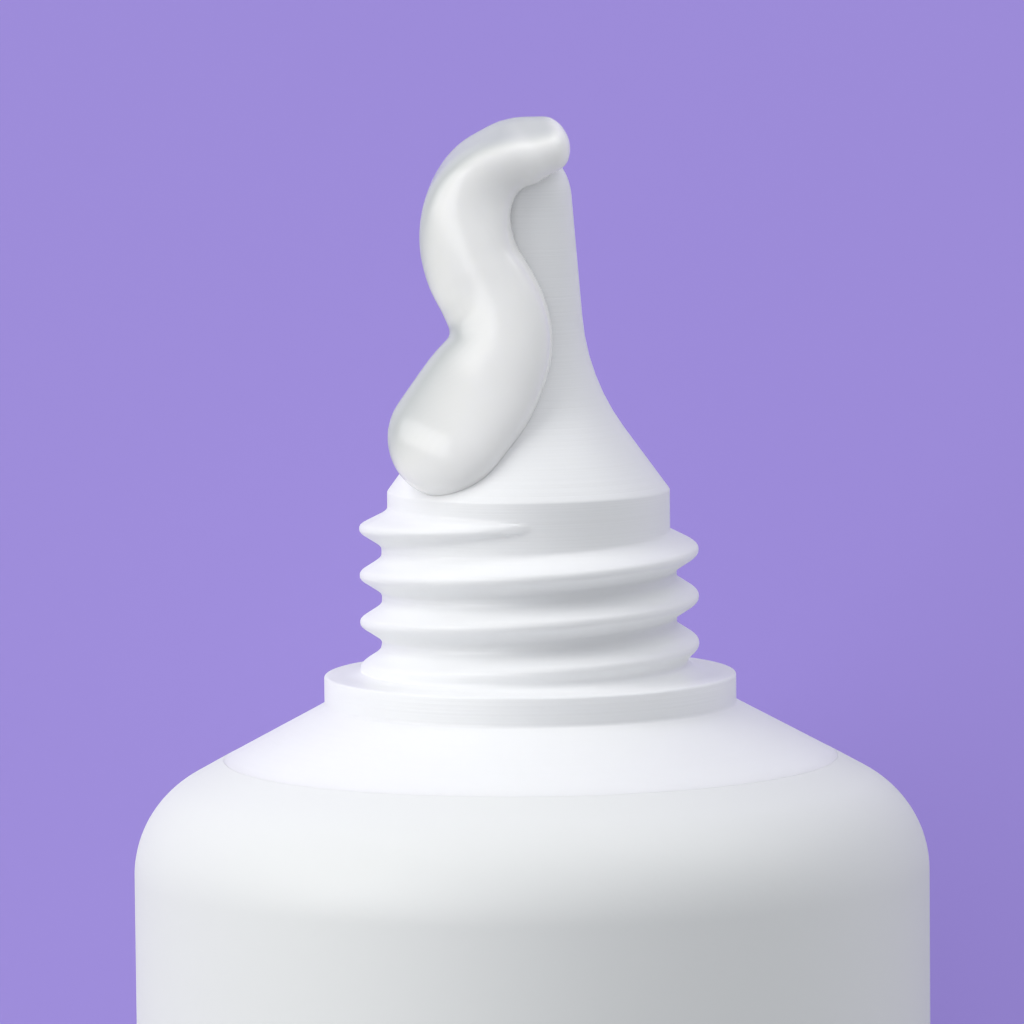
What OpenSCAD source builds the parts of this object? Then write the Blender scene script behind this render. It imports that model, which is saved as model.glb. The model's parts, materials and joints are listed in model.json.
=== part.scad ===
// An uncapped plastic tube of skin gel, lying on its side as it comes to rest.
// Each piece is drawn upright, with the tube's axis on Z and the top of the flange at zero,
// and is then laid down: +Y runs along the tube towards the nozzle, +Z is up.

/* [Sleeve] */
// Outer diameter of the sleeve's round end
tube_d = 25.4; // [22:0.1:35]
// Wall of the sleeve
sleeve_wall = 0.45; // [0.35:0.05:0.6]
// Length of the sleeve from the end of the shoulder's rounding to the tail
sleeve_len = 98; // [75:1:140]
// Stretch behind the shoulder that stays round
round_len = 5; // [3:0.5:12]
// How slowly the sleeve starts to flatten, where 1 is a straight wedge
flatten_power = 1.5; // [1.3:0.1:2]
// Length of the flat seal at the tail
seal_len = 7; // [4:0.5:12]
// Crimp lines across the seal
crimp_count = 5; // [2:1:7]
// Width of each crimp line
crimp_w = 0.5; // [0.3:0.05:0.7]
// Depth of each crimp line
crimp_depth = 0.14; // [0.05:0.01:0.2]

/* [Shoulder] */
// Slope of the shoulder below level, in degrees
shoulder_slope = 29; // [20:1:40]
// Radius of the rounding between shoulder and sleeve
shoulder_round = 3.5; // [2:0.1:4]
// Radius at which the sleeve's edge lies on the shoulder
sleeve_edge_r = 9.8; // [9.2:0.1:10.4]
// How far the sleeve's edge stands proud of the bare shoulder
sleeve_proud = 0.05; // [0:0.01:0.1]
// Wall of the head under the sleeve
shoulder_wall = 1; // [0.8:0.1:1.5]
// Length of the head's skirt inside the round sleeve
skirt_len = 2.5; // [1:0.5:2.5]

/* [Flange and neck] */
// Radius of the flange
flange_r = 6.57; // [6.2:0.01:7.5]
// Height of the flange
flange_h = 0.95; // [0.7:0.05:1.5]
// Chamfer on the flange's edges
flange_edge = 0.08; // [0.02:0.01:0.2]
// Height of the neck above the flange
neck_h = 5.86; // [5.6:0.02:8]
// Radius of the neck between the thread's ridges
neck_r = 4.7; // [4.5:0.01:4.9]
// Radius of the plain collar above the thread's last turn
collar_r = 4.5; // [4.4:0.01:4.5]
// Chamfer on the collar's top edge
collar_edge = 0.1; // [0.05:0.01:0.2]
// Radius of the rounding where the neck meets the flange
neck_fillet = 1.2; // [0.2:0.05:1.3]
// Radius of the bore through the neck
neck_bore_r = 3.5; // [3:0.1:3.6]

/* [Thread] */
// Pitch of the right-handed cap thread
pitch = 1.5; // [1.4:0.05:1.6]
// Radius over the thread's crests
thread_r = 5.4; // [5.2:0.01:5.6]
// Width of a ridge at its root
ridge_base = 1.16; // [0.9:0.02:1.3]
// Width of a ridge at its crest
ridge_crest = 0.26; // [0.15:0.01:0.35]
// Turns from the flange to the fade-out
thread_turns = 3.53; // [3:0.01:3.6]
// Angle over which each end of the ridge fades
fade_angle = 75; // [45:5:90]

/* [Nozzle] */
// Height of the nozzle above the collar
nozzle_h = 10.6; // [8.5:0.1:14]
// Radius of the nozzle where its tip starts to round
nozzle_tip_r = 1.51; // [1.4:0.01:1.6]
// Width of the oval rounding at the nozzle's tip
tip_round = 0.85; // [0.6:0.05:0.85]
// Height of the oval rounding at the nozzle's tip
tip_round_h = 1.45; // [0.8:0.05:1.6]
// Half angle of the nozzle's cone at the collar, in degrees
cone_angle = 36; // [33:1:38]
// Half angle of the nozzle's slender end, in degrees
draft_angle = 4; // [2:0.5:5]
// Radius of the hollow curve between the cone and the slender end
nozzle_curve = 7; // [4:0.5:9]
// Wall of the nozzle
nozzle_wall = 0.95; // [0.75:0.05:1]
// Radius of the orifice
orifice_r = 0.5; // [0.4:0.05:0.55]
// Length of the orifice's straight bore
orifice_len = 1.2; // [0.8:0.1:2]

/* [Gel] */
// Clearance of the gel to the walls round it
gel_gap = 0.03; // [0.02:0.01:0.1]
// Size of the squeezed bead, where 1 is as squeezed out here
bead_size = 1; // [0.9:0.01:1.05]

/* [Hidden] */
$fn = 96;

// Sleeve stations, measured along the axis from the flange's top
tube_r = tube_d / 2;
inner_r = tube_r - sleeve_wall;
cone_rise = tan(shoulder_slope);
round_reach = shoulder_round * tan((90 - shoulder_slope) / 2);
proud_drop = sleeve_proud / cos(shoulder_slope);
edge_z = -flange_h - (sleeve_edge_r - flange_r) * cone_rise;
corner_z = -flange_h - (tube_r - flange_r) * cone_rise + proud_drop;
round_start_z = corner_z - round_reach;
flat_start_z = round_start_z - round_len;
tail_z = round_start_z - sleeve_len;
seal_z = tail_z + seal_len;

// The tube lies on its belly and on the lower edge of its tail
seal_half = sleeve_wall;
rest_tilt = atan((tube_r - seal_half) / (flat_start_z - tail_z));
rest_lift = tube_r * cos(rest_tilt) - flat_start_z * sin(rest_tilt);
collar_z = neck_h;
tip_z = neck_h + nozzle_h;
// Height of the bead above the nozzle's tip
bead_rise = 1.28;
front_y = (tip_z + bead_rise * bead_size) * cos(rest_tilt);
tail_y = tail_z * cos(rest_tilt) - seal_half * sin(rest_tilt);
rest_shift = -(front_y + tail_y) / 2;

// The flattened part of the sleeve is a mesh that starts a little inside the wall of the round part
sides = 64;
graft = 0.03;
graft_len = 1;
// Half height at which the space inside the sleeve ends
cavity_end_half = 0.25;
ring_step = 3.4;
// How square the section is at the seal, where 1 is an oval
squareness = 0.35;
half_turn = 180;

// The threaded neck is a mesh of rings, and its foot is buried in the flange
neck_sides = 48;
neck_level = 0.1;
neck_root = 0.4;
collar_ledge = 0.03;
thread_start_angle = -190;
thread_start_z = -0.23;
// Share of a turn over which the neck steps in to the collar above the last crest
step_share = 0.12;

// Bead stations: across, towards the viewer of the front, along the axis, half width, half depth
// and the lean that turns the inner edge of the S to the front
bead_sides = 24;
bead_steps = 4;
bead_cap_steps = 4;
bead_cap_angle = 88;
// How full the bead's section is, where 1 is an oval and less has a flatter front
bead_fullness = 0.7;
// Depth below the collar's edge down to which the bead is kept off the neck
bead_clear = 1;
bead_path = [
    [0.70, 0.75, 16.91, 0.70, 1.15, -28],
    [-0.05, 0.85, 16.71, 0.82, 1.38, -30],
    [-0.72, 1.05, 16.47, 0.95, 1.30, -25],
    [-1.38, 1.20, 15.93, 1.18, 1.25, -15],
    [-1.81, 1.35, 15.07, 1.36, 1.20, 0],
    [-1.89, 1.45, 14.06, 1.46, 1.20, 10],
    [-1.68, 1.55, 13.11, 1.50, 1.20, 12],
    [-1.22, 1.66, 12.25, 1.54, 1.22, 10],
    [-0.86, 1.80, 11.35, 1.57, 1.25, 8],
    [-0.90, 1.98, 10.35, 1.66, 1.25, 8],
    [-1.54, 2.20, 9.15, 1.88, 1.25, 12],
    [-2.50, 2.60, 7.75, 1.92, 1.30, 18]
];

pieces_white = "#f1f3f4";
pieces_sleeve = "#e9edee";
pieces_gel = "#e3e9e4";

// Helpers for points
function lerp(a, b, t) = a + (b - a) * t;
function share(x) = max(0, min(1, x));
function arc(centre, r, from, to, steps) =
    [for (i = [0:steps]) let (a = lerp(from, to, i / steps)) centre + r * [cos(a), sin(a)]];
function reversed(list) = [for (i = [len(list) - 1:-1:0]) list[i]];
function unit(v) = v / norm(v);
function spread(from, to, step) =
    let (steps = ceil(abs(to - from) / step)) [for (i = [0:steps]) lerp(from, to, i / steps)];
// A point at u across, w to the front and z along the tube, in the laid-down tube's frame
function laid(u, w, z) = [
    u,
    z * cos(rest_tilt) - w * sin(rest_tilt) + rest_shift,
    z * sin(rest_tilt) + w * cos(rest_tilt) + rest_lift
];

// Triangles round a stack of rings with the same number of points, closed by a flat cap at each end
function skin_faces(rings, n) = concat(
    [[for (j = [0:n - 1]) j]],
    [for (i = [0:rings - 2], j = [0:n - 1], half = [0, 1])
        let (a = i * n + j, b = i * n + (j + 1) % n, c = a + n, d = b + n)
        half == 0 ? [a, c, b] : [b, c, d]],
    [[for (j = [n - 1:-1:0]) (rings - 1) * n + j]]
);
function joined(rings) = [for (ring = rings, p = ring) p];

module skin(rings) {
    polyhedron(points = joined(rings), faces = skin_faces(len(rings), len(rings[0])), convexity = 6);
}

module lay_down() {
    translate([0, rest_shift, rest_lift]) rotate([rest_tilt - 90, 0, 0]) children();
}

// Nozzle profile: a cone, a hollow curve and a slender end. offset_in moves it inwards by a wall.
function line_at(r0, z0, angle, z) = r0 - (z - z0) * tan(angle);
tip_start_z = tip_z - tip_round_h;
cone_r = collar_r - collar_edge - collar_ledge;
meet_z = (cone_r + collar_z * tan(cone_angle) - nozzle_tip_r - tip_start_z * tan(draft_angle))
    / (tan(cone_angle) - tan(draft_angle));
meet_r = line_at(cone_r, collar_z, cone_angle, meet_z);
curve_reach = nozzle_curve * tan((cone_angle - draft_angle) / 2);
curve_centre = [
    meet_r + curve_reach * sin(cone_angle) + nozzle_curve * cos(cone_angle),
    meet_z - curve_reach * cos(cone_angle) + nozzle_curve * sin(cone_angle)
];
function nozzle_curve_points(offset_in) = arc(
    curve_centre, nozzle_curve + offset_in, half_turn + cone_angle, half_turn + draft_angle, 12);

// Shoulder profile at a depth below the sleeve's outer face, from radius from_r out to the round sleeve
function shoulder_points(depth, from_r) = let (
    slant = depth / cos(shoulder_slope),
    line_z = corner_z - slant + (tube_r - from_r) * cone_rise,
    r = shoulder_round - depth,
    centre = [tube_r - shoulder_round, round_start_z]
) concat([[from_r, line_z]], arc(centre, r, 90 - shoulder_slope, 0, 8));

// Head: nozzle, collar, threaded neck, flange and shoulder, moulded in one piece
module nozzle_form() {
    foot_z = collar_z - collar_edge;
    foot_r = line_at(cone_r, collar_z, cone_angle, foot_z);
    rotate_extrude() polygon(concat(
        [[0, foot_z - 1], [foot_r, foot_z - 1], [foot_r, foot_z]],
        nozzle_curve_points(0),
        [for (i = [0:6]) let (a = 15 * i)
            [nozzle_tip_r - tip_round * (1 - cos(a)), tip_start_z + tip_round_h * sin(a)]],
        [[0, tip_z]]
    ));
}

module shoulder_form() {
    skirt_z = round_start_z - skirt_len;
    rotate_extrude() polygon(concat(
        [[0, skirt_z], [inner_r, skirt_z]],
        reversed(shoulder_points(sleeve_wall, sleeve_edge_r)),
        [[sleeve_edge_r, edge_z], [flange_r, -flange_h], [flange_r, -flange_edge],
         [flange_r - flange_edge, 0], [0, 0]]
    ));
}

module head_hollow() {
    bore_top_z = collar_z - nozzle_wall / sin(cone_angle) + (collar_r - neck_bore_r) / tan(cone_angle);
    depth = sleeve_wall + shoulder_wall;
    below = round_start_z - skirt_len - 1;
    rotate_extrude() polygon(concat(
        [[0, below], [inner_r - shoulder_wall, below]],
        reversed(shoulder_points(depth, neck_bore_r)),
        [[neck_bore_r, bore_top_z]],
        nozzle_curve_points(nozzle_wall),
        [[orifice_r, tip_z - orifice_len], [0, tip_z - orifice_len]]
    ));
    translate([0, 0, tip_z - orifice_len - 1]) cylinder(r = orifice_r, h = orifice_len + 2);
}

// Radius of the neck without its thread, where base is its radius above the fillet
function plain_neck_r(base, z) =
    z > collar_z - collar_edge ? collar_r - collar_edge :
    z > neck_fillet ? base :
    min(flange_r - 2 * flange_edge,
        base + neck_fillet * (1 - sqrt(max(0, 1 - pow(1 - max(0, z) / neck_fillet, 2)))));
// Share of its full height that the ridge has at a turning angle: it fades in and out at its ends
thread_end_angle = thread_start_angle + thread_turns * 360;
function fade_in(angle) = share((angle - thread_start_angle) / fade_angle);
function fade_out(angle) = share((thread_end_angle - angle) / fade_angle);
// Radius of the threaded neck at a direction, counted from the front to the right, and a height.
// The neck is stepped along the thread: above the last crest it has the collar's radius.
function neck_surface_r(direction, z) = let (
    here = thread_start_angle + 360 * (z - thread_start_z) / pitch,
    below = direction + 360 * floor((here - direction) / 360),
    past = (here - below) / 360,
    step = lerp(fade_out(below), fade_out(below + 360), share(past / step_share)),
    plain = plain_neck_r(lerp(collar_r, neck_r, step), z),
    crest = past < 0.5 ? below : below + 360,
    off = pitch * min(past, 1 - past),
    fade = min(fade_in(crest), fade_out(crest)),
    rise = (ridge_base - 2 * off) / (ridge_base - ridge_crest)
) plain + (thread_r - plain) * max(0, min(fade, rise - 1 + fade));

module threaded_neck() {
    levels = concat([-neck_root], spread(-neck_level / 4, collar_z - 1.5 * collar_edge, neck_level),
        [collar_z - collar_edge, collar_z]);
    skin([for (z = levels) [for (j = [0:neck_sides - 1]) let (
        direction = 360 * j / neck_sides,
        r = neck_surface_r(direction, max(z, -neck_level / 4))
    ) [r * sin(direction), -r * cos(direction), z]]]);
}

module head() {
    color(pieces_white) lay_down() difference() {
        union() {
            nozzle_form();
            threaded_neck();
            shoulder_form();
        }
        head_hollow();
    }
}

// Sleeve: round at the shoulder, flattened with an unchanged girth and sealed at the tail
function tail_share(z) = min(1, max(0, (flat_start_z - z) / (flat_start_z - seal_z)));
function half_thick(z) =
    let (r = tube_r - graft) seal_half + (r - seal_half) * (1 - pow(tail_share(z), flatten_power));
// Half width of an oval of half thickness b with the girth of the round sleeve
girth_power = ln(2) / ln(PI / 2);
function half_wide(b) =
    let (r = tube_r - graft) pow(pow(PI * r / 2, girth_power) - pow(b, girth_power), 1 / girth_power);
// One ring of the sleeve, inset from its outer face, with its underside flat on the ground
function sleeve_ring(z, inset, dent, n) = let (
    b = half_thick(z) - inset - dent,
    a = half_wide(half_thick(z)) - inset,
    q = lerp(1, squareness, pow(tail_share(z), 6)),
    level = inset / cos(rest_tilt)
) [for (j = [0:n - 1]) let (
    angle = 360 * (j + 0.5) / n,
    w = b * sign(sin(angle)) * pow(abs(sin(angle)), q),
    p = laid(a * cos(angle), w, z)
) p[2] < level ? [p[0], laid(0, (level - laid(0, 0, z)[2]) / cos(rest_tilt), z)[1], level] : p];

mesh_top_z = flat_start_z + graft_len;
// Station at which the space inside ends, just before the two walls meet
cavity_share = pow(1 - cavity_end_half / (tube_r - seal_half), 1 / flatten_power);
cavity_end_z = lerp(flat_start_z, seal_z, cavity_share);
crimp_space = seal_len / (crimp_count + 1);
function crimp_z(i) = seal_z - crimp_space * i;
// Outline of a crimp line, as shares of its width and of its depth
crimp_outline = [[0.5, 0], [0.3, 1], [-0.3, 1], [-0.5, 0]];

function sleeve_rings() = let (
    wall = sleeve_wall - 2 * graft,
    hollow = reversed(spread(mesh_top_z, cavity_end_z, ring_step)),
    outside = spread(mesh_top_z, seal_z, ring_step)
) concat(
    [for (z = hollow) sleeve_ring(z, wall, 0, sides)],
    [for (z = outside) sleeve_ring(z, 0, 0, sides)],
    [for (i = [1:crimp_count], edge = crimp_outline)
        sleeve_ring(crimp_z(i) + crimp_w * edge[0], 0, crimp_depth * edge[1], sides)],
    [sleeve_ring(tail_z, 0, 0, sides)]
);

module sleeve() {
    color(pieces_sleeve) {
        lay_down() rotate_extrude() polygon(concat(
            shoulder_points(0, sleeve_edge_r),
            [[tube_r, flat_start_z], [inner_r, flat_start_z]],
            reversed(shoulder_points(sleeve_wall, sleeve_edge_r))
        ));
        skin(sleeve_rings());
    }
}

// Gel that fills the sleeve, the neck and the nozzle's channel, up to the orifice
module gel_fill() {
    depth = sleeve_wall + shoulder_wall + gel_gap;
    skirt_z = round_start_z - skirt_len;
    bore_r = neck_bore_r - gel_gap;
    fill_wall = sleeve_wall + gel_gap + graft;
    stations = spread(flat_start_z + graft_len, cavity_end_z + gel_gap, 2 * ring_step);
    color(pieces_gel) {
        lay_down() {
            rotate_extrude() polygon(concat(
                [[0, flat_start_z], [inner_r - gel_gap, flat_start_z], [inner_r - gel_gap, skirt_z - gel_gap],
                 [inner_r - shoulder_wall - gel_gap, skirt_z - gel_gap]],
                reversed(shoulder_points(depth, bore_r)),
                [[bore_r, collar_z - nozzle_wall / sin(cone_angle)
                    + (collar_r - neck_bore_r) / tan(cone_angle)]],
                nozzle_curve_points(nozzle_wall + gel_gap),
                [[orifice_r - gel_gap, tip_z - orifice_len], [orifice_r - gel_gap, tip_z], [0, tip_z]]
            ));
        }
        skin([for (z = stations) sleeve_ring(z, fill_wall, 0, sides)]);
    }
}

// Bead of gel squeezed from the orifice, lying in an S down the front of the nozzle
function catmull(a, b, c, d, t) =
    (2 * b + (c - a) * t + (2 * a - 5 * b + 4 * c - d) * t * t + (3 * b - a - 3 * c + d) * t * t * t) / 2;
function bead_stations() = let (last = len(bead_path) - 1) concat(
    [for (i = [0:last - 1], k = [0:bead_steps - 1])
        catmull(bead_path[max(0, i - 1)], bead_path[i], bead_path[i + 1], bead_path[min(last, i + 2)],
            k / bead_steps)],
    [bead_path[last]]
);
function place(s) = [s[0], -s[1], s[2]];
function bead_ring(centre, along, station, size) = let (
    front = unit([0, -1, 0] - along * ([0, -1, 0] * along)),
    outer = cross(along, front),
    lean = station[5],
    width = (outer * cos(lean) - front * sin(lean)) * station[3] * size,
    depth = (front * cos(lean) + outer * sin(lean)) * station[4] * size
) [for (j = [0:bead_sides - 1]) let (
    a = -360 * j / bead_sides,
    full = sign(sin(a)) * pow(abs(sin(a)), bead_fullness)
) centre + width * cos(a) + depth * full];
function bead_end(station, along, way) = [for (k = [1:bead_cap_steps]) let (
    a = bead_cap_angle * k / bead_cap_steps,
    reach = bead_size * station[3] * sin(a)
) bead_ring(place(station) + along * way * reach, along, station, bead_size * cos(a))];
function bead_rings() = let (
    s = bead_stations(),
    last = len(s) - 1,
    ways = [for (i = [0:last]) unit(place(s[min(last, i + 1)]) - place(s[max(0, i - 1)]))]
) concat(
    reversed(bead_end(s[0], ways[0], -1)),
    [for (i = [0:last]) bead_ring(place(s[i]), ways[i], s[i], bead_size)],
    bead_end(s[last], ways[last], 1)
);

module gel_bead() {
    color(pieces_gel) lay_down() difference() {
        skin(bead_rings());
        nozzle_form();
        translate([0, 0, collar_z - bead_clear]) cylinder(r = collar_r, h = bead_clear);
    }
}

head();
sleeve();
gel_fill();
gel_bead();
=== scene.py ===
# %% [markdown]
# This lesson dresses one object: a soft plastic tube of skin gel that lies on its side with its
# cap off. A moulded head carries the nozzle, the threaded neck, the flange and the shoulder. An
# extruded sleeve is curled over the shoulder and sealed flat at the tail, and a bead of gel lies
# down the nozzle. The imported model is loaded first, because every new piece is set around it.

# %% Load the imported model
import json
import math

import bpy
from mathutils import Matrix, Vector, geometry


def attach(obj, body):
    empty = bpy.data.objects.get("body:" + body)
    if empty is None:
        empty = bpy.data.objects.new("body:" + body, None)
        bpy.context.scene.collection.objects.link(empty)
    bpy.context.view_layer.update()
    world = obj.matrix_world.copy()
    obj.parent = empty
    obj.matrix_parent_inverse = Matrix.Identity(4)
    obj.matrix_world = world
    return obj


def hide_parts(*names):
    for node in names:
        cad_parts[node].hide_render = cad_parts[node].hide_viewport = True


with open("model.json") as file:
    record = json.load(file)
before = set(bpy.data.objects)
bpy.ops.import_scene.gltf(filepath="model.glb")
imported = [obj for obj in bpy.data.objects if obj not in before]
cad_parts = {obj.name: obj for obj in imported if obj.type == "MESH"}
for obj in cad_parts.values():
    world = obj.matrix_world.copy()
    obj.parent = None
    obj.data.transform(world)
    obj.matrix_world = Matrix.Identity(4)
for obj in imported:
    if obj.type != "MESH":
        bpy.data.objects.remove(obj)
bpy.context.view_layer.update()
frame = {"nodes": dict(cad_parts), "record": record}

bpy.ops.object.select_all(action="DESELECT")
print("nodes:", sorted(frame["nodes"]))

# %% [markdown]
# Sizes are in millimetres, as they would be on a drawing, and are turned into metres only where a
# mesh is made. Every piece is first modelled upright, with the tube's axis on Z and the top of
# the flange at zero. That is the easy way to turn, thread and flatten it. It is laid down last.

# %% Sizes of the tube
MM = 0.001

TUBE_R = 12.7
SLEEVE_WALL = 0.45
SLEEVE_LEN = 98
ROUND_LEN = 5
FLATTEN_POWER = 1.5
SEAL_LEN = 7
SHOULDER_SLOPE = math.radians(29)
SHOULDER_ROUND = 3.5
SLEEVE_EDGE_R = 9.8
SLEEVE_PROUD = 0.05
SHOULDER_WALL = 1
SKIRT_LEN = 2.5

FLANGE_R = 6.57
FLANGE_H = 0.95
NECK_H = 5.86
NECK_R = 4.7
COLLAR_R = 4.5
NECK_BORE_R = 3.5

PITCH = 1.5
THREAD_R = 5.4
THREAD_START = -190
THREAD_START_Z = -0.23
THREAD_TURNS = 3.53
THREAD_FADE = 75

NOZZLE_H = 10.6
NOZZLE_TIP_R = 1.51
TIP_ROUND = 0.85
TIP_ROUND_H = 1.45
CONE_ANGLE = math.radians(36)
DRAFT_ANGLE = math.radians(4)
NOZZLE_CURVE = 7
NOZZLE_WALL = 0.95
ORIFICE_R = 0.5
ORIFICE_LEN = 1.2

# Heights along the axis that follow from them
cone_rise = math.tan(SHOULDER_SLOPE)
edge_z = -FLANGE_H - (SLEEVE_EDGE_R - FLANGE_R) * cone_rise
corner_z = -FLANGE_H - (TUBE_R - FLANGE_R) * cone_rise + SLEEVE_PROUD / math.cos(SHOULDER_SLOPE)
round_start_z = corner_z - SHOULDER_ROUND * math.tan((math.pi / 2 - SHOULDER_SLOPE) / 2)
flat_start_z = round_start_z - ROUND_LEN
tail_z = round_start_z - SLEEVE_LEN
seal_z = tail_z + SEAL_LEN
tip_z = NECK_H + NOZZLE_H
print(f"tip at {tip_z:.2f}, round sleeve from {round_start_z:.2f}, tail at {tail_z:.2f} mm")

# %% Where the upright tube lies
mounts = {mount["name"]: mount for mount in frame["record"]["mounts"]}
rim = mounts["flange_rim"]
along = Vector(rim["axis"]).normalized()
rest_tilt = math.atan2(along.z, along.y)
rim_middle = -FLANGE_H + rim["dims"]["length_mm"] / 2
flange_top = Vector(rim["pos_m"]) - along * rim_middle * MM
lay_down = Matrix.Translation(flange_top) @ Matrix.Rotation(rest_tilt - math.pi / 2, 4, "X")


def laid(point):
    """A point of the upright tube, in millimetres, where it is on the tube that lies down."""
    return lay_down @ (Vector(point) * MM)


print(f"the axis rises {math.degrees(rest_tilt):.2f} degrees towards the nozzle")

# %% [markdown]
# The camera looks straight down on the neck, from as far off as a product photographer stands with
# a long lens, and a few degrees towards the nozzle, so that the rings of the neck open into thin
# ovals. Its lens follows from its distance and how many pixels a millimetre takes up.

# %% Camera
PHOTO_SIDE = 1024
PIXELS_PER_MM = 31.4
CAMERA_DISTANCE = 250
CAMERA_ABOVE = math.radians(5.5)
CAMERA_ROLL = math.radians(0.55)
AIM = (-0.53, 0, 5.16)

bpy.ops.object.camera_add()
camera = bpy.context.object
camera.name = "camera"
front = lay_down.to_3x3() @ Vector((0, -1, 0))
towards_camera = front * math.cos(CAMERA_ABOVE) + along * math.sin(CAMERA_ABOVE)
camera.location = laid(AIM) + towards_camera * CAMERA_DISTANCE * MM
across = along.cross(towards_camera).normalized()
upright = towards_camera.cross(across)
turned = Matrix((across, upright, towards_camera)).transposed()
camera.rotation_euler = (turned @ Matrix.Rotation(-CAMERA_ROLL, 3, "Z")).to_euler()
camera.data.lens = camera.data.sensor_width * CAMERA_DISTANCE * PIXELS_PER_MM / PHOTO_SIDE
camera.data.clip_start = 0.01
bpy.context.scene.camera = camera
print(f"lens {camera.data.lens:.0f} mm")

# %% [markdown]
# The floor is one large card, and the light is a studio's. The key lamp is a big soft box above
# the nozzle's left. The gloss doesn't see it, because the mirror image of so large a lamp would
# bleach the tube's left side. A narrow strip beside it is seen by the gloss alone, and it draws
# the gleam on the wet gel. A weak box at the upper right and pale air open the shadows.

# %% Floor
FLOOR_SIDE = 6
bpy.ops.mesh.primitive_plane_add(size=FLOOR_SIDE)
floor = bpy.context.object
floor.name = "floor"
print(f"the floor is {FLOOR_SIDE} m wide")

# %% Lamps and air
LAMP_TARGET = (0, 0, 2)
LAMP_DISTANCE = 1.1
AIR_COLOUR = (0.93, 0.95, 1, 1)
AIR_STRENGTH = 0.51


def soft_box(name, direction, sides, power, tint=(1, 1, 1)):
    """A flat lamp, turned towards the neck from a direction given as right, up and front."""
    target = laid(LAMP_TARGET)
    place = target + Vector(direction).normalized() * LAMP_DISTANCE
    bpy.ops.object.light_add(type="AREA", location=place)
    lamp = bpy.context.object
    lamp.name = name
    lamp.data.shape = "RECTANGLE"
    lamp.data.size, lamp.data.size_y = sides
    lamp.data.energy = power
    lamp.data.color = tint
    lamp.rotation_euler = (place - target).to_track_quat("Z", "Y").to_euler()
    return lamp


key_lamp = soft_box("key_lamp", (-0.74, 0.50, 0.40), (1.4, 0.7), 9.7, (1, 0.995, 0.98))
key_lamp.visible_glossy = False
gleam_lamp = soft_box("gleam_lamp", (-0.66, 0.22, 0.70), (0.6, 1.2), 9)
gleam_lamp.visible_diffuse = False
soft_box("top_lamp", (0.55, 0.80, 0.22), (0.9, 0.6), 3.3, (0.98, 0.985, 1))

world = bpy.data.worlds.new("air")
bpy.context.scene.world = world
world.use_nodes = True
air = world.node_tree.nodes["Background"]
air.inputs["Color"].default_value = AIR_COLOUR
air.inputs["Strength"].default_value = AIR_STRENGTH
bpy.context.scene.view_settings.view_transform = "Standard"

# %% [markdown]
# Most of a moulding's outline is straight lines whose corners are rounded, so it is described
# that way: a list of corners, each with the radius that rounds it. The helper below works out
# the arcs. A turned piece is that outline, drawn by extruding one point from corner to corner
# and then spun about the axis.

# %% Outlines with rounded corners
ARC_STEP = math.radians(6)


def rounded(corners, fine=1.0):
    """Points of an outline, in millimetres, whose corners (r, z, radius) are rounded by arcs."""
    points = []
    last = len(corners) - 1
    for i, (r, z, radius) in enumerate(corners):
        corner = Vector((r, z))
        if not radius or i in (0, last):
            points.append(corner)
            continue
        before = (Vector(corners[i - 1][:2]) - corner).normalized()
        after = (Vector(corners[i + 1][:2]) - corner).normalized()
        half = before.angle(after) / 2
        centre = corner + (before + after).normalized() * radius / math.sin(half)
        start = corner + before * radius / math.tan(half) - centre
        turn = start.angle_signed(corner + after * radius / math.tan(half) - centre)
        steps = max(2, math.ceil(abs(turn) / ARC_STEP * fine))
        for k in range(steps + 1):
            points.append(centre + Matrix.Rotation(-turn * k / steps, 2) @ start)
    return points


def with_levels(points, low, high, step):
    """The same outline with extra points, a step apart, where it runs between two heights."""
    out = [points[0]]
    for a, b in zip(points, points[1:]):
        if min(a.y, b.y) > low and max(a.y, b.y) < high:
            count = math.ceil((b - a).length / step)
            out += [a.lerp(b, k / count) for k in range(1, count)]
        out.append(b)
    return out


square_corner = rounded([(0, 0, 0), (2, 0, 1), (2, 2, 0)])
print("points that round a square corner:", len(square_corner) - 2)

# %% Turned pieces
MERGE_WITHIN = MM / 2000


def spin(name, points, steps):
    """Draws a closed outline in the XZ plane from point to point and spins it about Z."""
    bpy.ops.object.select_all(action="DESELECT")
    bpy.ops.mesh.primitive_plane_add(size=MM)
    piece = bpy.context.object
    piece.name = name
    bpy.ops.object.mode_set(mode="EDIT")
    bpy.ops.mesh.select_all(action="SELECT")
    bpy.ops.mesh.merge(type="CENTER")
    bpy.ops.transform.translate(value=(points[0].x * MM, 0, points[0].y * MM))
    for a, b in zip(points, points[1:] + points[:1]):
        move = (b - a) * MM
        bpy.ops.mesh.extrude_region_move(TRANSFORM_OT_translate={"value": (move.x, 0, move.y)})
    bpy.ops.mesh.select_all(action="SELECT")
    bpy.ops.mesh.remove_doubles(threshold=MERGE_WITHIN)
    bpy.ops.mesh.select_all(action="SELECT")
    bpy.ops.mesh.spin(steps=steps, angle=2 * math.pi, center=(0, 0, 0), axis=(0, 0, 1))
    bpy.ops.mesh.select_all(action="SELECT")
    bpy.ops.mesh.remove_doubles(threshold=MERGE_WITHIN)
    bpy.ops.mesh.normals_make_consistent(inside=False)
    bpy.ops.object.mode_set(mode="OBJECT")
    return piece


# %% [markdown]
# A finished piece is laid down as a whole. Its place goes into its mesh, so that the object sits
# unturned at the origin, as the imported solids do. Only edges sharper than an angle stay crisp.

# %% Laying a piece down
CRISP_ANGLE = 40


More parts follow.
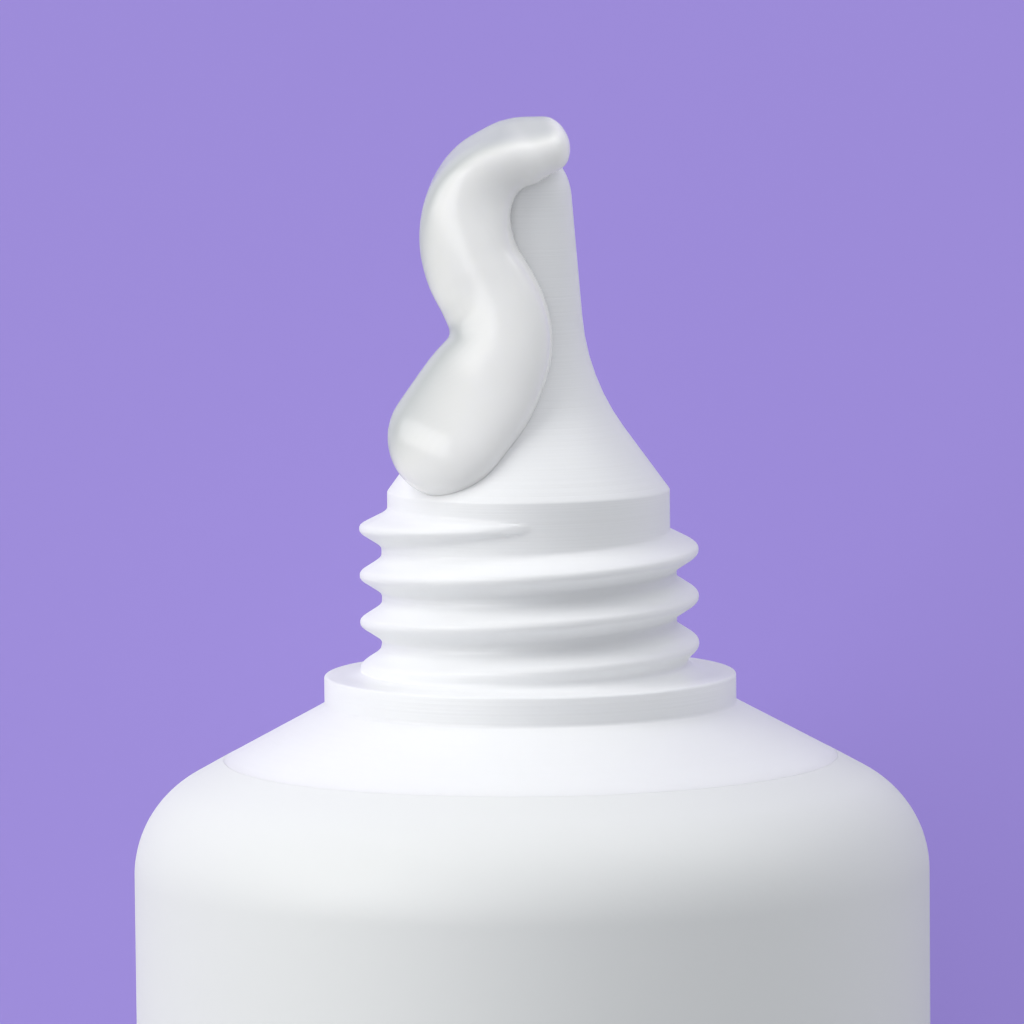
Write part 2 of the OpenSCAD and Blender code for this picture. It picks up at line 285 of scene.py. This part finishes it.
def settle(piece, smooth_angle=CRISP_ANGLE):
    """Lays an upright piece down, puts its place in its mesh and smooths its shading."""
    bpy.ops.object.select_all(action="DESELECT")
    piece.select_set(True)
    bpy.context.view_layer.objects.active = piece
    piece.matrix_world = lay_down
    bpy.ops.object.transform_apply(location=True, rotation=True, scale=True)
    bpy.ops.object.shade_smooth_by_angle(angle=math.radians(smooth_angle))
    piece.select_set(False)
    triangles = sum(len(face.vertices) - 2 for face in piece.data.polygons)
    print(f"{piece.name}: {triangles} triangles")


# %% [markdown]
# The head is one injection moulding, so it is one turned outline, from the orifice down the
# outside to the skirt and back up the inside. The nozzle is a cone and a slender end joined by
# one large hollow arc. The other corners get the small radii that a mould leaves, and the arc at
# the tip is stretched to an oval, because the nozzle narrows a little before it ends. Where the
# sleeve is welded on, the shoulder comes up almost level with the sleeve's edge.

# %% Outline of the head
HEAD_STEPS = 288
NECK_STEP = 0.06
ORIFICE_ROUND = 0.05
COLLAR_ROUND = 0.13
NECK_FILLET = 1.2
FLANGE_ROUND = 0.09
FLANGE_FOOT_ROUND = 0.12
WELD_RISE = 0.052
WELD_PLAY = 0.003
BORE_BELOW_COLLAR = 0.5
CHANNEL_FUNNEL = 0.3
CLOSE = 0.001

tip_line_r = NOZZLE_TIP_R - TIP_ROUND_H * math.tan(DRAFT_ANGLE)
meet = geometry.intersect_line_line_2d(
    Vector((COLLAR_R, NECK_H)), Vector((COLLAR_R - NOZZLE_H * math.tan(CONE_ANGLE), tip_z)),
    Vector((tip_line_r, tip_z)), Vector((tip_line_r + NOZZLE_H * math.tan(DRAFT_ANGLE), NECK_H)))


def under_shoulder(depth, r):
    """Height of the shoulder's cone at a radius, a depth below the sleeve's outer face."""
    return corner_z - depth / math.cos(SHOULDER_SLOPE) + (TUBE_R - r) * cone_rise


inner_r = TUBE_R - SLEEVE_WALL
skirt_r = inner_r - SHOULDER_WALL
skirt_z = round_start_z - SKIRT_LEN
inside = SLEEVE_WALL + SHOULDER_WALL
weld_r = SLEEVE_EDGE_R - WELD_PLAY
outline = rounded([
    (ORIFICE_R, tip_z - ORIFICE_LEN, 0),
    (ORIFICE_R, tip_z, ORIFICE_ROUND),
    (tip_line_r, tip_z, TIP_ROUND),
    (meet.x, meet.y, NOZZLE_CURVE),
    (COLLAR_R, NECK_H, COLLAR_ROUND),
    (COLLAR_R, 0, NECK_FILLET),
    (FLANGE_R, 0, FLANGE_ROUND),
    (FLANGE_R, -FLANGE_H, FLANGE_FOOT_ROUND),
    (weld_r, edge_z + WELD_RISE, 0),
    (weld_r, under_shoulder(SLEEVE_WALL, SLEEVE_EDGE_R), 0),
    (inner_r, under_shoulder(SLEEVE_WALL, inner_r), SHOULDER_ROUND - SLEEVE_WALL),
    (inner_r, skirt_z, 0),
    (skirt_r, skirt_z, 0),
    (skirt_r, under_shoulder(inside, skirt_r), SHOULDER_ROUND - inside),
    (NECK_BORE_R, under_shoulder(inside, NECK_BORE_R), 0),
    (NECK_BORE_R, NECK_H - BORE_BELOW_COLLAR, 0),
    (meet.x - NOZZLE_WALL, meet.y, NOZZLE_CURVE + NOZZLE_WALL),
    (ORIFICE_R, tip_z - ORIFICE_LEN - CHANNEL_FUNNEL, 0),
])
for point in outline:
    if point.y > tip_z - TIP_ROUND:
        point.y = tip_z - (tip_z - point.y) * TIP_ROUND_H / TIP_ROUND
outline = with_levels(outline, CLOSE, NECK_H, NECK_STEP)
print("points round the outline of the head:", len(outline))

# %% [markdown]
# The cap thread is raised by moving the points of the neck outwards. The height at a point
# depends only on how far along the axis it is from the middle of the ridge at that angle, and the
# middle climbs one pitch for each turn. The ridge fades in out of the flange and fades out under
# the collar, and soft corners at its crest and foot are part of the same formula.

# %% Height of the ridge
RIDGE_CREST = 0.13
RIDGE_FOOT = 0.58
RIDGE_SOFT = 0.22
STEP_SHARE = 0.12


def soft_rise(x, top=1.0, soft=RIDGE_SOFT):
    """x, kept between 0 and top, with both corners rounded."""
    soft = min(soft, top / 2)
    if x <= -soft or top <= 0:
        return 0
    if x < soft:
        return (x + soft) ** 2 / (4 * soft)
    if x > top - soft:
        return top - max(0, top + soft - x) ** 2 / (4 * soft)
    return x


def grown_radius(r, angle, z):
    """Radius of the threaded neck where the plain neck has radius r."""
    end = THREAD_START + 360 * THREAD_TURNS
    here = THREAD_START + 360 * (z - THREAD_START_Z) / PITCH
    below = angle + 360 * math.floor((here - angle) / 360)
    past = (here - below) / 360
    left = [max(0, min(1, (end - below - 360 * k) / THREAD_FADE)) for k in (0, 1)]
    base = left[0] + (left[1] - left[0]) * soft_rise(past / STEP_SHARE)
    r += (NECK_R - COLLAR_R) * base
    crest = below if past < 0.5 else below + 360
    off = PITCH * min(past, 1 - past)
    fade = max(0, min(1, (crest - THREAD_START) / THREAD_FADE, (end - crest) / THREAD_FADE))
    rise = (RIDGE_FOOT - off) / (RIDGE_FOOT - RIDGE_CREST)
    return r + max(0, THREAD_R - r) * soft_rise(rise - 1 + fade, fade)


crest_z = THREAD_START_Z + PITCH * (1 - THREAD_START / 360)
print(f"radius at a crest on the front: {grown_radius(COLLAR_R, 0, crest_z):.2f} mm")

# %% Head
NECK_PLAY = 0.02


def raise_thread(piece):
    """Moves the outer points of the neck out to the thread's ridge."""
    foot_r = COLLAR_R + NECK_FILLET
    top_z = NECK_H - COLLAR_ROUND
    for vertex in piece.data.vertices:
        x, y, z = vertex.co / MM
        r = math.hypot(x, y)
        if COLLAR_R - NECK_PLAY < r < foot_r + NECK_PLAY and -CLOSE < z < top_z + CLOSE:
            grown = grown_radius(r, math.degrees(math.atan2(x, -y)), z) / r
            vertex.co = Vector((x * grown, y * grown, z)) * MM


head = spin("nozzle_head", outline, HEAD_STEPS)
raise_thread(head)
settle(head)

# %% [markdown]
# The sleeve starts round at the shoulder and ends flat in the seal, but the film can't stretch:
# its girth stays the same all the way. A ring that is squashed to a half height b therefore
# grows to a matching half width. The rings are stacked from the closed end of the space inside,
# up the inner face, over the front edge and down the outer face to the tail. The tube is full
# and soft, so its underside is pressed flat where it bears on the floor.

# %% Stacking rings
RING_MERGE_WITHIN = MM / 5000


def ring_stack(name, rings, sides):
    """A flat grid rolled up into a closed tube, ring by ring, with both ends filled. Each item of
    rings is a function that gives a point in millimetres for an angle."""
    bpy.ops.object.select_all(action="DESELECT")
    bpy.ops.mesh.primitive_grid_add(x_subdivisions=sides, y_subdivisions=len(rings) - 1, size=2)
    piece = bpy.context.object
    piece.name = name
    for vertex in piece.data.vertices:
        station = round((vertex.co.y + 1) / 2 * (len(rings) - 1))
        vertex.co = Vector(rings[station](math.pi * vertex.co.x)) * MM
    bpy.ops.object.mode_set(mode="EDIT")
    bpy.ops.mesh.select_all(action="SELECT")
    bpy.ops.mesh.remove_doubles(threshold=RING_MERGE_WITHIN)
    bpy.ops.mesh.select_all(action="SELECT")
    bpy.ops.mesh.fill_holes(sides=sides)
    bpy.ops.mesh.select_all(action="SELECT")
    bpy.ops.mesh.normals_make_consistent(inside=False)
    bpy.ops.object.mode_set(mode="OBJECT")
    return piece


# %% Shape of the sleeve
SLEEVE_SIDES = 192
SQUARENESS = 0.35
SQUARE_POWER = 6
seal_half = SLEEVE_WALL
girth_power = math.log(2) / math.log(math.pi / 2)


def tail_share(z):
    """0 where the sleeve starts to flatten, 1 at the seal."""
    return min(1, max(0, (flat_start_z - z) / (flat_start_z - seal_z)))


def half_thick(z):
    return seal_half + (TUBE_R - seal_half) * (1 - tail_share(z) ** FLATTEN_POWER)


def half_wide(b):
    flat = (math.pi * TUBE_R / 2) ** girth_power
    return (flat - b ** girth_power) ** (1 / girth_power)


def oval_ring(z, inset=0.0, dent=0.0):
    """A ring of the flattening sleeve, inset from its outer face."""
    b = half_thick(z) - inset - dent
    a = half_wide(half_thick(z)) - inset
    square = 1 + (SQUARENESS - 1) * tail_share(z) ** SQUARE_POWER
    floor_w = -(laid((0, 0, z)).z / MM - inset) / math.cos(rest_tilt)

    def point(angle):
        s = math.sin(angle)
        w = b * math.copysign(abs(s) ** square, s)
        return (a * math.cos(angle), -max(floor_w, w), z)

    return point


def round_ring(r, z):
    return lambda angle: (r * math.cos(angle), -r * math.sin(angle), z)


def levels(start, end, step):
    """Heights from start to end, about a step apart, with both ends."""
    count = max(1, math.ceil(abs(end - start) / step))
    return [start + (end - start) * k / count for k in range(count + 1)]


print(f"the seal is {2 * half_wide(seal_half):.1f} mm wide")

# %% [markdown]
# The tail is closed by heat: two jaws press the film together and leave a flat band with fine
# straight crimp lines across it. Each line is a shallow groove with sloped sides.

# %% Sleeve
CRIMP_COUNT = 5
CRIMP_W = 0.5
CRIMP_DEPTH = 0.14
CRIMP_SOFT = 0.3
CAVITY_END_HALF = 0.25
EDGE_ROUND = 0.01
FINE_ARCS = 3
INNER_STEP = 2.5
BODY_STEP = 0.8
SEAL_STEP = 0.07


def crimp_dent(z):
    """Depth of the crimp lines at a height of the seal."""
    space = SEAL_LEN / (CRIMP_COUNT + 1)
    nearest = min(abs(z - seal_z + space * i) for i in range(1, CRIMP_COUNT + 1))
    return CRIMP_DEPTH * soft_rise((CRIMP_W / 2 - nearest) / (CRIMP_W / 4), soft=CRIMP_SOFT)


cavity_share = (1 - CAVITY_END_HALF / (TUBE_R - seal_half)) ** (1 / FLATTEN_POWER)
cavity_end_z = flat_start_z + (seal_z - flat_start_z) * cavity_share
shoulder_out = rounded([
    (SLEEVE_EDGE_R, under_shoulder(SLEEVE_WALL, SLEEVE_EDGE_R), 0),
    (SLEEVE_EDGE_R, under_shoulder(0, SLEEVE_EDGE_R), EDGE_ROUND),
    (TUBE_R, corner_z, SHOULDER_ROUND),
    (TUBE_R, flat_start_z, 0),
], fine=FINE_ARCS)
shoulder_in = rounded([
    (inner_r, flat_start_z, 0),
    (inner_r, under_shoulder(SLEEVE_WALL, inner_r), SHOULDER_ROUND - SLEEVE_WALL),
    (SLEEVE_EDGE_R, under_shoulder(SLEEVE_WALL, SLEEVE_EDGE_R), 0),
])
inner_levels = levels(flat_start_z, cavity_end_z, INNER_STEP)
rings = [oval_ring(z, SLEEVE_WALL) for z in reversed(inner_levels)]
rings += [round_ring(p.x, p.y) for p in shoulder_in[1:] + shoulder_out[1:]]
rings += [oval_ring(z) for z in levels(flat_start_z, seal_z, BODY_STEP)[1:]]
rings += [oval_ring(z, dent=crimp_dent(z)) for z in levels(seal_z, tail_z, SEAL_STEP)[1:]]
sleeve = ring_stack("tube_sleeve", rings, SLEEVE_SIDES)
settle(sleeve)

# %% [markdown]
# The gel came out of the orifice as a soft strand and laid itself in an S down the front of the
# nozzle. It is a stack of rings too, but the stations follow a smooth curve through a few listed
# points. Each point holds its place across, to the front and along the axis, half the strand's
# width and depth there, and the lean of its section in degrees, because the strand rolls over a
# little in each bend. The stack is then remeshed evenly and relaxed, as a soft gel would.

# %% Path of the bead
BEAD_PATH = [
    (0.70, 0.75, 16.91, 0.70, 1.15, -28),
    (-0.05, 0.85, 16.71, 0.82, 1.38, -30),
    (-0.72, 1.05, 16.47, 0.95, 1.30, -25),
    (-1.38, 1.20, 15.93, 1.18, 1.25, -15),
    (-1.81, 1.35, 15.07, 1.36, 1.20, 0),
    (-1.89, 1.45, 14.06, 1.46, 1.20, 10),
    (-1.68, 1.55, 13.11, 1.50, 1.20, 12),
    (-1.22, 1.66, 12.25, 1.54, 1.22, 10),
    (-0.86, 1.80, 11.35, 1.57, 1.25, 8),
    (-0.90, 1.98, 10.35, 1.66, 1.25, 8),
    (-1.54, 2.20, 9.15, 1.88, 1.25, 12),
    (-2.50, 2.60, 7.75, 1.92, 1.30, 18),
]
BEAD_STEPS = 10


def smooth_path(stations, steps):
    """Stations on one smooth curve through the given ones, a number of steps between each two."""
    rows = [Vector(s) for s in stations]
    rows = [2 * rows[0] - rows[1], *rows, 2 * rows[-1] - rows[-2]]
    out = []
    for a, b, c, d in zip(rows, rows[1:], rows[2:], rows[3:]):
        for k in range(steps):
            t = k / steps
            out.append((2 * b + (c - a) * t + (2 * a - 5 * b + 4 * c - d) * t * t
                        + (3 * b - a - 3 * c + d) * t ** 3) / 2)
    out.append(rows[-2])
    return out


bead_stations = smooth_path(BEAD_PATH, BEAD_STEPS)
print("stations along the bead:", len(bead_stations))

# %% Gel bead
BEAD_SIDES = 64
BEAD_FULLNESS = 0.55
BEAD_CAP_STEPS = 12
BEAD_CAP_TURN = math.radians(88)
BEAD_VOXEL = 0.09
RELAX_SHARE = 0.5
RELAX_ROUNDS = 14


def bead_ring(centre, way, station, size=1.0):
    """A ring across the strand, an oval with a flattened front. Its lean turns the inner edge of
    the S to the front."""
    wide, deep, lean = station[3] * size, station[4] * size, math.radians(station[5])
    front = Vector((0, -1, 0))
    front = (front - way * way.dot(front)).normalized()
    outer = way.cross(front)
    width = (outer * math.cos(lean) - front * math.sin(lean)) * wide
    depth = (front * math.cos(lean) + outer * math.sin(lean)) * deep

    def point(angle):
        s = math.sin(angle)
        return centre + width * math.cos(angle) + depth * math.copysign(abs(s) ** BEAD_FULLNESS, s)

    return point


def bead_rings(path):
    """Rings along the whole strand, with a round cap of ever smaller rings at each end."""
    centres = [Vector((s[0], -s[1], s[2])) for s in path]
    ways = [(b - a).normalized() for a, b in zip(centres, centres[1:])]
    ways = [ways[0]] + [(a + b).normalized() for a, b in zip(ways, ways[1:])] + [ways[-1]]
    rings = [bead_ring(c, w, s) for c, w, s in zip(centres, ways, path)]
    caps = []
    for end, sign in ((0, -1), (-1, 1)):
        turns = [BEAD_CAP_TURN * k / BEAD_CAP_STEPS for k in range(1, BEAD_CAP_STEPS + 1)]
        reach = sign * path[end][3]
        caps.append([bead_ring(centres[end] + ways[end] * reach * math.sin(turn), ways[end],
                               path[end], math.cos(turn)) for turn in turns])
    return list(reversed(caps[0])) + rings + caps[1]


def apply_modifier(piece, modifier):
    """Applies one modifier of a piece for good."""
    bpy.ops.object.select_all(action="DESELECT")
    piece.select_set(True)
    bpy.context.view_layer.objects.active = piece
    bpy.ops.object.modifier_apply(modifier=modifier.name)


bead = ring_stack("gel_strand", bead_rings(bead_stations), BEAD_SIDES)
remesh = bead.modifiers.new("even_skin", "REMESH")
remesh.mode = "VOXEL"
remesh.voxel_size = BEAD_VOXEL * MM
apply_modifier(bead, remesh)
relax = bead.modifiers.new("surface_tension", "SMOOTH")
relax.factor = RELAX_SHARE
relax.iterations = RELAX_ROUNDS
apply_modifier(bead, relax)
settle(bead, smooth_angle=180)

# %% [markdown]
# Materials are written as sums. The small class below wraps an output socket, so that an
# expression such as 1 - mask adds the Math node it stands for.

# %% Shader arithmetic
BUMP_HEIGHT = 0.02 * MM


class Wire:
    """An output socket of a material that can be used in arithmetic."""

    def __init__(self, finish, socket):
        self.finish = finish
        self.socket = socket

    def sibling(self, output):
        """Another output of the node that this one comes from."""
        return Wire(self.finish, self.socket.node.outputs[output])

    def math(self, operation, *others):
        return self.finish.node("ShaderNodeMath", {"operation": operation}, [self, *others])

    def __add__(self, other):
        return self.math("ADD", other)

    __radd__ = __add__

    def __mul__(self, other):
        return self.math("MULTIPLY", other)

    __rmul__ = __mul__

    def __sub__(self, other):
        return self.math("SUBTRACT", other)

    def __rsub__(self, other):
        return self.finish.node("ShaderNodeMath", {"operation": "SUBTRACT"}, [other, self])


class Finish:
    """A material with one Principled shader and a method that adds any other node."""

    def __init__(self, name, base_color, roughness, **sockets):
        self.material = bpy.data.materials.new(name)
        self.material.use_nodes = True
        self.tree = self.material.node_tree
        self.shader = self.tree.nodes["Principled BSDF"]
        self.set("Base Color", (*base_color, 1))
        self.set("Roughness", roughness)
        for socket, value in sockets.items():
            self.set(socket.replace("_", " "), value)

    def set(self, socket, value):
        self.feed(self.shader.inputs[socket], value)

    def feed(self, socket, value):
        if isinstance(value, Wire):
            self.tree.links.new(value.socket, socket)
        else:
            socket.default_value = value

    def node(self, kind, settings=None, inputs=None, output=0):
        """Adds a node: its settings are set first, then values or links go to its sockets."""
        made = self.tree.nodes.new(kind)
        for key, value in (settings or {}).items():
            setattr(made, key, value)
        named = inputs.items() if isinstance(inputs, dict) else enumerate(inputs or [])
        for key, value in named:
            self.feed(made.inputs[key], value)
        return Wire(self, made.outputs[output])

    def place(self):
        return self.node("ShaderNodeTexCoord", output="Object")

    def height_on_tube(self):
        """How far along the tube's axis a point is, in metres from the top of the flange."""
        from_flange = self.node("ShaderNodeVectorMath", {"operation": "SUBTRACT"},
                                [self.place(), flange_top])
        return self.node("ShaderNodeVectorMath", {"operation": "DOT_PRODUCT"},
                         [from_flange, along], output="Value")

    def noise(self, scale, detail=2, vector=None):
        return self.node("ShaderNodeTexNoise", {}, {
            "Vector": vector or self.place(), "Scale": scale, "Detail": detail})

    def bump(self, height, strength):
        self.set("Normal", self.node("ShaderNodeBump", {}, {
            "Height": height, "Distance": BUMP_HEIGHT, "Strength": strength}))

    def mix(self, share, a, b):
        """A colour between a and b. The sockets for colours share their names, so they go by
        number."""
        return self.node("ShaderNodeMix", {"data_type": "RGBA"}, {0: share, 6: a, 7: b}, output=2)


# %% [markdown]
# The head is white polyethylene with the satin face of a polished mould. Faint rings go round the
# nozzle, where the mould was turned, so a noise that changes quickly along the axis and hardly
# round it drives a very shallow bump. The sleeve is the same white, a little softer and more
# matt, and its face is slightly uneven because the film was drawn out while it was hot. The size
# of a pattern is given as the number of its waves in a metre.

# %% White moulding
HEAD_WHITE = (0.875, 0.88, 0.89)
HEAD_DIM = (0.87, 0.877, 0.885)
HEAD_BRIGHT = (0.885, 0.892, 0.90)
HEAD_ROUGH = 0.36
HEAD_RINGS = 9000
HEAD_GRAIN = 2500
HEAD_CLOUDS = 160
SATIN_SPREAD = 0.12


def opaque(colour):
    return (*colour, 1)


def head_plastic():
    finish = Finish("white_moulding", HEAD_WHITE, 0.42, IOR=1.5, Subsurface_Weight=0.3,
                    Subsurface_Radius=(0.95, 0.97, 1.0), Subsurface_Scale=0.7 * MM)
    stretched = finish.node("ShaderNodeCombineXYZ", {}, [finish.height_on_tube(), 0, 0])
    rings = finish.noise(HEAD_RINGS, 3, stretched)
    grain = finish.noise(HEAD_GRAIN)
    finish.bump(rings * 0.8 + grain * 0.2, 0.8)
    clouds = finish.noise(HEAD_CLOUDS)
    finish.set("Roughness", clouds * SATIN_SPREAD + HEAD_ROUGH)
    finish.set("Base Color", finish.mix(clouds, opaque(HEAD_DIM), opaque(HEAD_BRIGHT)))
    return finish.material


moulding = head_plastic()
print("made", moulding.name)

# %% White sleeve
SLEEVE_WHITE = (0.80, 0.81, 0.803)
SLEEVE_DIM = (0.79, 0.802, 0.795)
SLEEVE_BRIGHT = (0.805, 0.817, 0.81)
SLEEVE_ROUGH = 0.44
SLEEVE_WAVES = 420
SLEEVE_GRAIN = 3200
SLEEVE_CLOUDS = 60


def sleeve_plastic():
    finish = Finish("white_sleeve", SLEEVE_WHITE, 0.5, IOR=1.5)
    film = finish.noise(SLEEVE_WAVES, 3)
    grain = finish.noise(SLEEVE_GRAIN)
    finish.bump(film * 0.7 + grain * 0.3, 0.5)
    clouds = finish.noise(SLEEVE_CLOUDS)
    finish.set("Roughness", clouds * SATIN_SPREAD + SLEEVE_ROUGH)
    finish.set("Base Color", finish.mix(clouds, opaque(SLEEVE_DIM), opaque(SLEEVE_BRIGHT)))
    return finish.material


film_white = sleeve_plastic()
print("made", film_white.name)

# %% [markdown]
# The gel is wet, milky and a little see-through. Its colour carries painted light and shade: the
# faces that look left and up, towards the key lamp, are painted grey and the rest white. This
# painted shade evens out the lamp's light across the strand, and the white stands in for the white
# plastic of the nozzle showing through the gel. Light also goes in, scatters and comes out a
# little further on, and the wet face gleams.

# %% Gel
# Faces that look this way are painted grey: painted shade on the side of the gel towards the key
# lamp.
GEL_PAINTED_SHADE_WAY = Vector((-0.75, 0.65, -0.05)).normalized()
GEL_WHITE = (0.985, 0.98, 0.955)
GEL_PAINTED_SHADE_GREY = (0.54, 0.56, 0.56)
GEL_SHADE_STARTS_AT = 0.0
GEL_SHADE_FULL_AT = 0.7
GEL_CLOUDS = 350
GEL_CLOUD_SHARE = 0.08
GEL_ROUGH = 0.16
GEL_ROUGH_SPREAD = 0.05
GEL_RIPPLES = 500


def milky_gel():
    finish = Finish("milky_gel", GEL_WHITE, 0.22, IOR=1.38, Subsurface_Weight=0.5,
                    Subsurface_Radius=(1.0, 1.0, 0.95), Subsurface_Scale=0.6 * MM)
    facing = finish.node("ShaderNodeTexCoord", output="Normal")
    outwards = finish.node("ShaderNodeVectorMath", {"operation": "DOT_PRODUCT"},
                           [facing, GEL_PAINTED_SHADE_WAY], output="Value")
    # Painted shade: a face is painted grey as far as it looks towards the key lamp's side.
    painted_shade = finish.node("ShaderNodeMapRange", {"interpolation_type": "SMOOTHSTEP"}, {
        "Value": outwards, "From Min": GEL_SHADE_STARTS_AT, "From Max": GEL_SHADE_FULL_AT})
    clouds = finish.noise(GEL_CLOUDS)
    # The gel's colour is white, less the painted shade and faint random clouds of grey.
    white_share = 1 - painted_shade - clouds * GEL_CLOUD_SHARE
    finish.set("Base Color", finish.mix(white_share, opaque(GEL_PAINTED_SHADE_GREY), opaque(GEL_WHITE)))
    finish.set("Roughness", clouds * GEL_ROUGH_SPREAD + GEL_ROUGH)
    ripple = finish.noise(GEL_RIPPLES, 1)
    finish.bump(ripple, 0.3)
    return finish.material


gel = milky_gel()
print("made", gel.name)

# %% [markdown]
# The floor is a plain pale lilac card, matt and very slightly mottled. The light that it throws
# back onto the tube is nearly white, so that the white plastics don't turn lilac.

# %% Floor card
LILAC = (0.357, 0.272, 0.745)
PALE = (0.70, 0.70, 0.72)
GLOW = 0.45
CARD_CLOUDS = 40
CARD_SPREAD = 0.03


def floor_card():
    """Matt card. What the camera and the gloss see of it is lilac and partly glows by itself."""
    finish = Finish("pale_card", LILAC, 0.9, Emission_Strength=GLOW)
    ray = finish.node("ShaderNodeLightPath", output="Is Camera Ray")
    seen = ray + ray.sibling("Is Glossy Ray") + ray.sibling("Is Transmission Ray")
    mottle = finish.noise(CARD_CLOUDS, 3)
    lit = [c * (1 - GLOW) for c in LILAC]
    card = finish.mix(mottle, opaque([c * (1 - CARD_SPREAD) for c in lit]),
                      opaque([c * (1 + CARD_SPREAD) for c in lit]))
    finish.set("Base Color", finish.mix(seen, opaque(PALE), card))
    finish.set("Emission Color", finish.mix(seen, opaque((0, 0, 0)), opaque(LILAC)))
    return finish.material


pale_card = floor_card()
print("made", pale_card.name)

# %% [markdown]
# Each piece gets its one finish, which takes the place of any that it had.

# %% Finish every piece
def dress(piece, material):
    piece.data.materials.clear()
    piece.data.materials.append(material)


for piece, material in ((head, moulding), (sleeve, film_white), (bead, gel), (floor, pale_card),
                        (frame["nodes"]["gel_fill"], gel)):
    dress(piece, material)
    print(piece.name, "is finished as", material.name)

# %% [markdown]
# Each new piece now stands for the plain solid that it was made around, and rides on the only
# body there is. The gel inside stays as it is, because nobody can see it.

# %% Join the pieces to the frame
for piece, node, slot in ((head, "head", "head_plastic"), (sleeve, "sleeve", "sleeve_plastic"),
                          (bead, "gel_bead", "gel")):
    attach(piece, "root")
    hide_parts(node)
